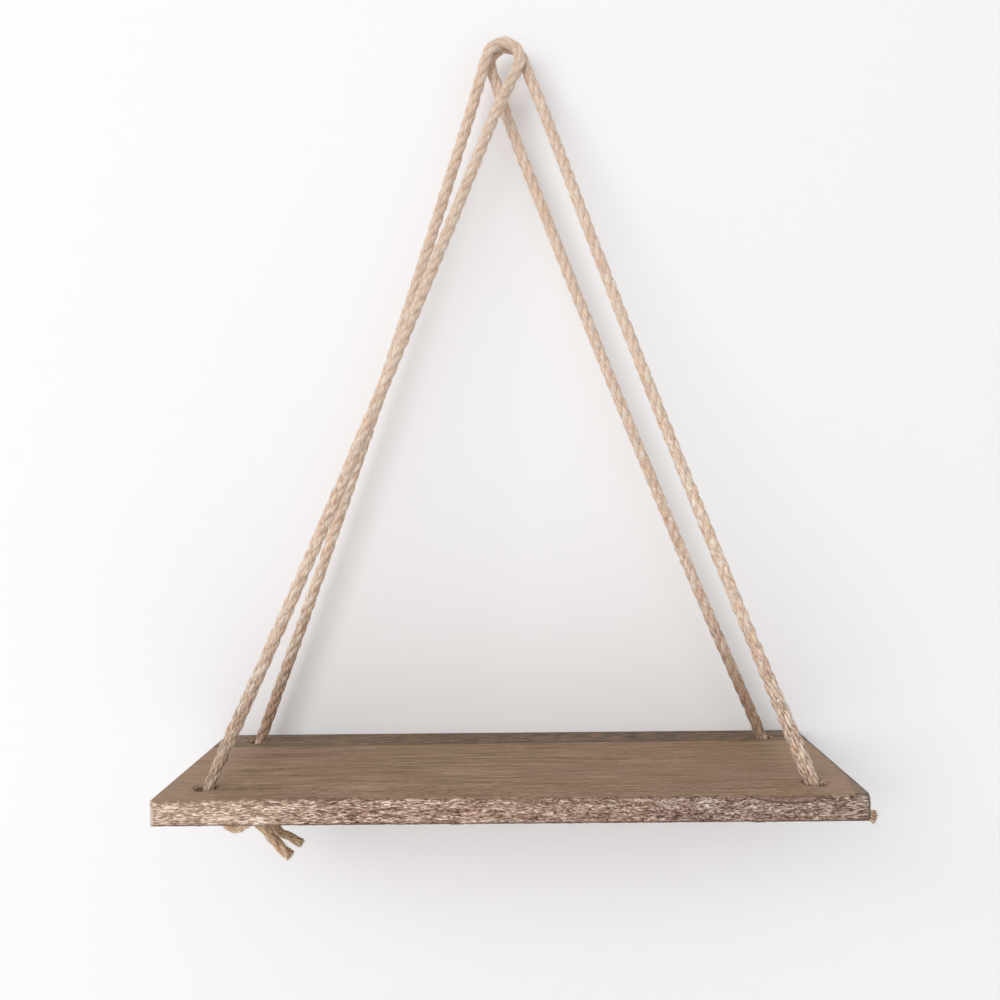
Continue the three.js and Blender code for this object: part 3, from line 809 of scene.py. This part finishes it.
class Graph:
    """A node tree, with short calls for the nodes that this file uses."""

    def __init__(self, tree):
        self.tree = tree

    def add(self, kind, inputs=None, **settings):
        node = self.tree.nodes.new(kind)
        for key, value in settings.items():
            setattr(node, key, value)
        for key, value in (inputs or {}).items():
            if isinstance(value, bpy.types.NodeSocket):
                self.tree.links.new(value, node.inputs[key])
            else:
                node.inputs[key].default_value = value
        return node

    def math(self, operation, a, b=0.0, clamp=False):
        return self.add("ShaderNodeMath", {0: a, 1: b}, operation=operation, use_clamp=clamp).outputs[0]

    def plus(self, first, *others):
        for other in others:
            first = self.math("ADD", first, other)
        return first

    def less(self, a, b):
        return self.math("SUBTRACT", a, b)

    def times(self, first, *others):
        for other in others:
            first = self.math("MULTIPLY", first, other)
        return first

    def object_place(self):
        return self.add("ShaderNodeTexCoord").outputs["Object"]

    def attribute(self, name, output="Fac"):
        return self.add("ShaderNodeAttribute", attribute_name=name).outputs[output]

    def bump(self, height, strength, distance):
        return self.add("ShaderNodeBump", {"Height": height, "Strength": strength,
                                           "Distance": distance}).outputs[0]

    def axes(self, vector):
        return self.add("ShaderNodeSeparateXYZ", {0: vector}).outputs[:3]

    def noise(self, vector, stretch, detail=2, rough=0.55):
        """Noise with so many waves to a metre in each direction."""
        stretched = self.add("ShaderNodeVectorMath", {0: vector, 1: stretch}, operation="MULTIPLY")
        return self.add("ShaderNodeTexNoise", {"Vector": stretched.outputs[0], "Scale": 1.0,
                                               "Detail": detail, "Roughness": rough}).outputs["Fac"]

    def between(self, value, low, high, to_low=0.0, to_high=1.0):
        """A smooth rise from one value to another."""
        return self.add("ShaderNodeMapRange", {"Value": value, "From Min": low, "From Max": high,
                                               "To Min": to_low, "To Max": to_high},
                        interpolation_type="SMOOTHSTEP").outputs["Result"]

    def ramp(self, value, stops):
        node = self.add("ShaderNodeValToRGB", {"Fac": value})
        elements = node.color_ramp.elements
        while len(elements) < len(stops):
            elements.new(0.5)
        for element, (place, colour) in zip(elements, stops):
            element.position = place
            element.color = colour
        return node.outputs["Color"]

    def mix(self, share, first, second, blend="MIX"):
        return self.add("ShaderNodeMix", {0: share, 6: first, 7: second},
                        data_type="RGBA", blend_type=blend).outputs[2]

    def tinted(self, share, colour, tint):
        """A share of the colour multiplied by a tint, and the rest as it was."""
        return self.mix(share, colour, self.mix(1.0, colour, tint, "MULTIPLY"))


def new_material(name):
    material = bpy.data.materials.new(name)
    material.use_nodes = True
    material.node_tree.nodes.clear()
    return material, Graph(material.node_tree)


def finish_material(graph, inputs):
    shader = graph.add("ShaderNodeBsdfPrincipled", inputs)
    out = graph.add("ShaderNodeOutputMaterial")
    graph.tree.links.new(shader.outputs[0], out.inputs[0])
    print("material:", len(graph.tree.nodes), "nodes")


# %% [markdown]
# ## Fibre streaks, for wood and for rope
# Wood grain and jute fibres are both long thin streaks. One node group makes them from a
# vector and two scales, and each material gives it its own direction and fineness.

# %% The streak group
def streak_group():
    group = bpy.data.node_groups.new("fibre_streaks", "ShaderNodeTree")
    for name in ("Place", "Coarse scale", "Fine scale"):
        group.interface.new_socket(name, in_out="INPUT", socket_type="NodeSocketVector")
    for name in ("Coarse", "Fine"):
        group.interface.new_socket(name, in_out="OUTPUT", socket_type="NodeSocketFloat")
    graph = Graph(group)
    given = graph.add("NodeGroupInput").outputs
    out = graph.add("NodeGroupOutput")
    for name, detail, rough in (("Coarse", 5, 0.6), ("Fine", 4, 0.65)):
        streak = graph.noise(given["Place"], given[name + " scale"], detail, rough)
        group.links.new(streak, out.inputs[name])
    return group


streaks = streak_group()


def add_streaks(graph, place, coarse_scale, fine_scale, coarse_share):
    """The group's two outputs, and a tone that mixes them."""
    given = {"Place": place, "Coarse scale": coarse_scale, "Fine scale": fine_scale}
    coarse, fine = graph.add("ShaderNodeGroup", given, node_tree=streaks).outputs
    tone = graph.plus(graph.times(coarse, coarse_share), graph.times(fine, 1 - coarse_share))
    return coarse, fine, tone


# %% [markdown]
# ## Weathered wood
# The top is a dull grey brown with fine grain along the board, and each finish of the board is
# built by a function of its own. All of them are one material, and masks from the place on the
# board tell them apart, so that the change from the top to the hewn edge can follow the
# wandering corner. The masks count from the board's faces, in metres.

# %% The board's faces, and the top
FRONT, BACK = FRONT_EDGE * MM, WALL_DISTANCE * MM
TOP, UNDER = BOARD_TOP * MM, UNDERSIDE * MM
LEFT_END = (BOARD_SHIFT - BOARD_LENGTH / 2) * MM
RIGHT_END = (BOARD_SHIFT + BOARD_LENGTH / 2) * MM


def top_colour(g, place, tone):
    x, y, _ = g.axes(place)
    top = g.ramp(tone, [(0.36, paint(104, 80, 60)), (0.45, paint(135, 110, 86)),
                        (0.54, paint(151, 125, 99)), (0.64, paint(184, 156, 128))])
    pinkish = g.noise(place, (5, 22, 30))
    top = g.mix(g.between(pinkish, 0.42, 0.62, 0, 0.45), top, paint(148, 118, 101))
    olive = g.noise(place, (9, 60, 40))
    top = g.mix(g.between(olive, 0.5, 0.62, 0, 0.45), top, paint(142, 119, 89))
    dark_lines = g.noise(place, (16, 230, 90), 3, 0.5)
    top = g.mix(g.between(dark_lines, 0.58, 0.68, 0, 0.45), top, paint(98, 76, 58))
    rough_front = g.between(y, FRONT + 0.042, FRONT + 0.004, 0.3, 0.75)
    flecks = g.noise(place, (150, 620, 600), 3)
    top = g.mix(g.times(g.between(flecks, 0.56, 0.66), rough_front), top, paint(182, 154, 132))
    top = g.mix(g.times(g.between(flecks, 0.44, 0.34), rough_front), top, paint(104, 80, 62))
    pale_ends = g.math("MAXIMUM", g.between(x, 0.165, 0.200), g.between(x, -0.170, -0.205))
    top = g.mix(g.times(pale_ends, 0.3), top, paint(184, 156, 138))
    into_corner = g.plus(x, g.between(y, FRONT + 0.050, FRONT + 0.006, 0.0, 0.007))
    greyed = g.between(into_corner, RIGHT_END - 0.0023, RIGHT_END + 0.0002, 0, 0.55)
    return g.mix(greyed, top, paint(120, 111, 100))


# %% [markdown]
# ## The strip along the back
# A strip of old surface runs along the back, darker and greyer than the rest. It starts at a
# dark line that wanders a little and doesn't run quite parallel to the edge.

# %% Back strip
STRIP_WIDTH = 0.0295


def with_back_strip(g, place, top):
    x, y, _ = g.axes(place)
    wander = g.times(g.noise(place, (9, 0, 0)), 0.004)
    into_strip = g.plus(y, STRIP_WIDTH - BACK, wander, g.times(x, -0.014))
    strip = g.between(into_strip, -0.0006, 0.0012)
    bark = g.noise(place, (75, 600, 420), 3, 0.65)
    scales = g.ramp(bark, [(0.38, paint(146, 153, 160)), (0.5, paint(205, 214, 222)),
                           (0.62, paint(255, 255, 255))])
    top = g.tinted(strip, top, scales)
    top = g.mix(g.times(strip, g.between(x, -0.05, -0.13, 0, 0.3)), top, paint(142, 118, 98))
    dark_line = g.times(g.between(into_strip, -0.0012, 0.0), g.between(into_strip, 0.0022, 0.0008))
    top = g.mix(g.times(dark_line, 0.6), top, paint(84, 68, 54))
    return g.mix(g.between(y, BACK - 0.0035, BACK - 0.0004, 0, 0.5), top, paint(92, 80, 70))


# %% [markdown]
# ## The fibres of the hewn edge
# Torn fibres run in waves along the edge. They are long on the left, shorter to the right and
# long again at the very end. Two noises bend the place that the fibres are read from, which
# makes the waves. The fibres are cream and pinkish on brown, and greyer towards the right.

# %% Hewn fibres
def hewn_fibres(g, place):
    x, _, _ = g.axes(place)
    slow = g.noise(place, (34, 34, 30))
    quick = g.noise(place, (120, 120, 110))
    rise = g.plus(g.times(slow, 0.007), g.times(quick, 0.0021))
    lifted = g.add("ShaderNodeCombineXYZ", {2: rise}).outputs[0]
    woven = g.add("ShaderNodeVectorMath", {0: place, 1: lifted}, operation="ADD").outputs[0]
    long_fibres = g.noise(woven, (290, 290, 1650), 3, 0.62)
    short_fibres = g.noise(woven, (540, 540, 1500), 3, 0.62)
    tufts = g.noise(woven, (70, 70, 420), 2, 0.6)
    shortness = g.between(g.plus(x, g.times(slow, 0.2)), -0.04, 0.16, 0.05, 0.5)
    shortness = g.times(shortness, g.between(x, 0.205, 0.185, 0.2, 1.0))
    fibre = g.plus(g.times(short_fibres, shortness), g.times(long_fibres, g.less(1.0, shortness)))
    chip = g.plus(g.times(fibre, 0.84), g.times(tufts, 0.16))
    spread = g.plus(g.between(x, -0.140, -0.185, 0.84, 1.10), g.between(x, 0.02, 0.12, 0, 0.11))
    spread = g.less(spread, g.between(x, 0.185, 0.205, 0, 0.2))
    chip = g.plus(0.5, g.times(g.less(chip, 0.5), spread))
    return {"quick": quick, "woven": woven, "tufts": tufts, "fibre": fibre, "chip": chip}


def hewn_colour(g, place, edge):
    x, _, _ = g.axes(place)
    hewn = g.ramp(edge["chip"], [(0.415, paint(80, 57, 44)), (0.465, paint(138, 109, 90)),
                                 (0.51, paint(168, 140, 121)), (0.55, paint(214, 187, 167)),
                                 (0.60, paint(254, 240, 228))])
    patches = g.noise(edge["woven"], (26, 26, 130))
    hewn = g.tinted(g.between(patches, 0.48, 0.62, 0, 0.45), hewn, paint(238, 220, 220))
    torn = g.math("ABSOLUTE", g.less(g.noise(edge["woven"], (30, 30, 380), 2, 0.5), 0.5))
    cracked = g.times(g.between(torn, 0.010, 0.002), g.between(edge["tufts"], 0.56, 0.46))
    hewn = g.mix(g.times(cracked, 0.7), hewn, paint(80, 54, 42))
    hewn = g.mix(g.between(x, -0.10, -0.19), hewn, g.mix(0.27, hewn, paint(232, 204, 176)))
    hewn = g.tinted(g.between(x, -0.06, 0.02), hewn, paint(238, 238, 240))
    return g.tinted(g.between(x, 0.04, 0.12), hewn, paint(240, 243, 246))


# %% [markdown]
# ## Where the top turns into the hewn edge
# The two meet in a ragged line that follows the fibres and dips in two worn places. Under the
# right dip a thin dark seam runs along the edge, and the wood above it is as old as the top.

# %% Ragged line and seam
SEAM_MIDDLE, SEAM_HALF = 0.164, 0.026
WORN_DIPS = ((0.008, 0.014, 0.0030), (SEAM_MIDDLE, SEAM_HALF, 0.0012))


def from_middle(g, x, middle):
    return g.math("ABSOLUTE", g.less(x, middle))


def freshly_hewn(g, place, edge):
    """Where the hewn edge shows, from 0 to 1."""
    x, y, z = g.axes(place)
    ragged = g.times(g.less(g.noise(place, (170, 0, 0), 4), 0.5), 0.0045)
    dips = 0.0
    for middle, half, depth in WORN_DIPS:
        dips = g.plus(dips, g.between(from_middle(g, x, middle), half, half * 0.2, 0, depth))
    sunk = g.plus(z, dips, g.times(g.less(edge["fibre"], 0.5), 0.009))
    upper = g.times(g.between(g.plus(y, ragged), FRONT + 0.0018, FRONT + 0.0010),
                    g.between(sunk, TOP + 0.0008, TOP - 0.0002))
    lower = g.times(g.between(sunk, TOP - 0.0006, TOP - 0.0014),
                    g.between(y, FRONT + 0.0048, FRONT + 0.0034))
    return g.math("MAXIMUM", upper, lower)


def with_seam(g, place, edge, colour):
    x, y, z = g.axes(place)
    off = from_middle(g, x, SEAM_MIDDLE)
    depth = g.plus(g.between(off, SEAM_HALF, SEAM_HALF * 0.2, 0.0006, 0.0046),
                   g.times(g.less(edge["quick"], 0.5), 0.002))
    above_seam = g.plus(z, -TOP, depth)
    near_seam = g.times(g.between(y, FRONT + 0.0025, FRONT + 0.0015),
                        g.between(off, SEAM_HALF, SEAM_HALF * 0.7))
    weathered = g.times(g.between(above_seam, -0.0002, 0.0008), near_seam)
    colour = g.mix(g.times(weathered, 0.6), colour, paint(132, 104, 88))
    on_seam = g.between(g.math("ABSOLUTE", above_seam), 0.0009, 0.0003)
    return g.mix(g.times(on_seam, near_seam, 0.75), colour, paint(84, 62, 50))


# %% [markdown]
# ## Worn edges, a painted highlight and drilled holes
# The left end has a pale painted highlight where it meets the hewn edge, the lower edge is dark,
# and the right end is grey. The holes' walls show raw wood at the mouth, with a few splinters,
# and are painted dark further down, as shade.

# %% Edges and holes
def with_worn_edges_and_highlight(g, place, colour):
    x, y, z = g.axes(place)
    # A painted highlight: a pale sliver on the left end's front corner.
    left_edge_highlight = g.times(g.between(x, LEFT_END + 0.0034, LEFT_END + 0.0010),
                       g.between(z, TOP - 0.002, TOP - 0.006),
                       g.between(y, FRONT + 0.006, FRONT + 0.003), 0.55)
    colour = g.mix(left_edge_highlight, colour, paint(236, 224, 208))
    lower_edge = g.times(g.between(z, UNDER + 0.0018, UNDER + 0.0004, 0, 0.7),
                         g.between(y, FRONT + 0.010, FRONT + 0.004))
    colour = g.mix(lower_edge, colour, paint(94, 70, 60))
    end_wear = g.plus(x, g.times(g.noise(place, (0, 120, 0), 3), 0.0016))
    right_end = g.between(end_wear, RIGHT_END - 0.0014, RIGHT_END - 0.0002, 0, 0.8)
    return g.mix(right_end, colour, paint(90, 84, 80))


def with_drilled_holes(g, place, fresh, colour):
    """Whatever lies between the faces and away from the edges is a hole's wall, painted darker further
    down as shade.
    """
    x, y, z = g.axes(place)
    in_hole = g.less(1.0, fresh)
    for axis, start, full in ((z, TOP - 0.0001, TOP - 0.0008), (z, UNDER + 0.0001, UNDER + 0.0008),
                              (x, RIGHT_END - 0.0008, RIGHT_END - 0.0028),
                              (x, LEFT_END + 0.0008, LEFT_END + 0.0028),
                              (y, BACK - 0.001, BACK - 0.002), (y, FRONT + 0.007, FRONT + 0.010)):
        in_hole = g.times(in_hole, g.between(axis, start, full))
    splinters = g.between(g.noise(place, (420, 420, 260)), 0.54, 0.62)
    mouth = g.mix(splinters, paint(146, 120, 97), paint(222, 194, 166))
    # Painted shade: the hole's wall turns dark below the mouth.
    hole_wall_and_depth_shade = g.mix(g.between(z, TOP - 0.0034, TOP - 0.0048), mouth, paint(106, 82, 64))
    return g.mix(g.times(in_hole, 0.95), colour, hole_wall_and_depth_shade)


# %% Wood material
def wood_material():
    material, g = new_material("weathered_wood")
    place = g.object_place()
    coarse, fine, tone = add_streaks(g, place, (16, 260, 220), (52, 900, 900), 0.45)
    edge = hewn_fibres(g, place)
    fresh = freshly_hewn(g, place, edge)
    top = with_back_strip(g, place, top_colour(g, place, tone))
    colour = g.mix(fresh, top, hewn_colour(g, place, edge))
    colour = with_worn_edges_and_highlight(g, place, with_seam(g, place, edge, colour))
    colour = with_drilled_holes(g, place, fresh, colour)
    height = g.plus(g.times(fine, 0.3), g.times(edge["chip"], fresh, 1.5))
    rough = g.between(coarse, 0.3, 0.7, 0.9, 0.76)
    finish_material(g, {"Base Color": colour, "Roughness": rough, "Specular IOR Level": 0.22,
                        "Normal": g.bump(height, 0.6, 0.0006)})
    return material


# %% [markdown]
# ## Jute
# The crowns of the strands are bleached and shiny, and the valleys between them are painted
# darker, as shade. The piece's own attributes say how high on a crown a point lies, which way
# the fibres run and how much painted shade and soil the rope has there, so the streaks follow
# the lay wherever the rope bends. The grooves between the yarns are painted darker too, as
# shade, more so towards the board, where the darkest fibres are darkened as grime as well. The
# rope is cleaner and smoother towards the hook, where nobody handles it.

# %% Jute material
# Darkens and browns the colour by the rope's attribute for it: painted shade on the back legs, and
# darker and browner lower down and at the tails.
def with_shade_and_soil(g, colour):
    return g.tinted(g.attribute("shade_and_soil"), colour, paint(198, 185, 174))


def jute_material():
    material, g = new_material("jute_rope")
    lay = g.attribute("lay", "Vector")
    z = g.axes(g.object_place())[2]
    _, fine, tone = add_streaks(g, lay, (900, 900, 120), (1700, 1700, 300), 0.4)
    colour = g.ramp(tone, [(0.36, paint(177, 153, 131)), (0.45, paint(212, 188, 167)),
                           (0.53, paint(232, 212, 193)), (0.62, paint(251, 241, 226))])
    pinkish = g.between(g.noise(lay, (90, 90, 40)), 0.46, 0.6, 0, 0.7)
    colour = g.tinted(pinkish, colour, paint(248, 231, 228))
    golden = g.between(g.noise(lay, (190, 190, 70)), 0.53, 0.64, 0, 0.5)
    colour = g.tinted(golden, colour, paint(252, 241, 218))
    smooth = g.between(z, TOP + 0.105, TOP + 0.365, 0, 0.5)
    colour = g.mix(smooth, colour, paint(221, 197, 178))
    colour = g.tinted(g.between(z, UNDER + 0.004, UNDER - 0.004), colour, paint(254, 247, 230))
    # Painted shade: the valleys between the strands are darkened from the crown height.
    valley_shade = g.between(g.attribute("crown"), 0.86, 0.60)
    colour = g.mix(g.times(valley_shade, 0.3), colour, paint(146, 116, 92))
    lay_x, lay_y, _ = g.axes(lay)
    yarn = g.math("COSINE", g.times(g.math("ARCTAN2", lay_y, lay_x), YARNS))
    # Painted shade in the grooves between the yarns, and the darkest fibres darkened as grime, both
    # stronger towards the board.
    groove_shade_and_dark_fibres = g.plus(g.between(yarn, -0.2, -0.95, 0, 0.9), g.between(tone, 0.5, 0.38, 0, 1.1))
    low = g.between(z, TOP + 0.125, TOP + 0.025, 0.08, 0.55)
    groove_shade_and_grime = g.math("MULTIPLY", low, groove_shade_and_dark_fibres, clamp=True)
    colour = g.mix(groove_shade_and_grime, with_shade_and_soil(g, colour), paint(112, 84, 62))
    relief = g.plus(g.times(fine, 0.9), g.times(yarn, 0.12))
    bump = g.bump(g.times(relief, g.less(1.0, smooth)), 0.7, 0.0005)
    finish_material(g, {"Base Color": colour, "Roughness": 0.82, "Normal": bump,
                        "Specular IOR Level": 0.3, "Sheen Weight": 0.2, "Sheen Roughness": 0.4})
    return material


def fibre_material():
    material, g = new_material("jute_fibres")
    tone = g.noise(g.object_place(), (500, 500, 500))
    colour = g.ramp(tone, [(0.36, paint(196, 170, 144)), (0.64, paint(247, 234, 214))])
    finish_material(g, {"Base Color": with_shade_and_soil(g, colour), "Roughness": 0.75})
    return material


wood, jute, fibres = wood_material(), jute_material(), fibre_material()
plank.data.materials.clear()
plank.data.materials.append(wood)
for piece in rope_pieces:
    piece.data.materials.append(jute)
for piece in fibre_pieces:
    piece.data.materials.append(fibres)

# %% [markdown]
# ## Wall, floor and light
# The shelf hangs on a pale wall, so a plain pale wall stands just behind the board, with a
# floor well below. Both are see-through from behind, so that the shelf can be looked at from
# every side, and the wall lets light through right behind the board, or the board's back edge
# would be black. One large soft lamp from the upper left models the ropes and throws their faint
# shadows to the right, and a pale world fills the rest.

# %% Wall and floor
CLEAR_WITHIN = 0.003


def one_sided_pale(name, colour):
    material, g = new_material(name)
    shown = g.add("ShaderNodeBsdfPrincipled", {"Base Color": colour, "Roughness": 0.95,
                                               "Specular IOR Level": 0.1}).outputs[0]
    clear = g.add("ShaderNodeBsdfTransparent").outputs[0]
    behind = g.add("ShaderNodeNewGeometry").outputs["Backfacing"]
    close = g.math("LESS_THAN", g.add("ShaderNodeLightPath").outputs["Ray Length"], CLEAR_WITHIN)
    through = g.math("MAXIMUM", behind, close)
    mixed = g.add("ShaderNodeMixShader", {0: through, 1: shown, 2: clear}).outputs[0]
    g.tree.links.new(mixed, g.add("ShaderNodeOutputMaterial").inputs[0])
    return material


WALL_GAP = 0.0008
FLOOR_DEPTH = 0.95
ROOM = 2.4
WALL_Y = WALL_DISTANCE * MM + WALL_GAP
pale = one_sided_pale("pale_room", paint(245, 244, 244))
for name, place, tilt in (("plain_wall", (0, WALL_Y, ROOM / 2 - FLOOR_DEPTH), math.pi / 2),
                          ("plain_floor", (0, WALL_Y - ROOM / 2, -FLOOR_DEPTH), 0.0)):
    bpy.ops.mesh.primitive_plane_add(size=1, location=place, rotation=(tilt, 0, 0))
    surface = bpy.context.object
    surface.name = name
    surface.scale = (2 * ROOM, ROOM, 1)
    surface.data.materials.append(pale)
    print(name, "at", tuple(round(v, 3) for v in place))

# %% Lamps and world
def soft_lamp(name, place, target, size, power):
    data = bpy.data.lights.new(name, "AREA")
    data.shape = "SQUARE"
    data.size = size
    data.energy = power
    lamp = new_object(name, data)
    lamp.location = place
    lamp.rotation_euler = (Vector(target) - Vector(place)).to_track_quat("-Z", "Y").to_euler()


soft_lamp("window_light", place=(-2.38, -3.78, 0.79), target=(0, 0, -0.4), size=3.2, power=91)
world = bpy.data.worlds.new("pale_world")
bpy.context.scene.world = world
world.use_nodes = True
background = world.node_tree.nodes["Background"]
background.inputs["Color"].default_value = (0.98, 0.985, 1.0, 1.0)
background.inputs["Strength"].default_value = 0.7
bpy.context.scene.view_settings.view_transform = "Standard"
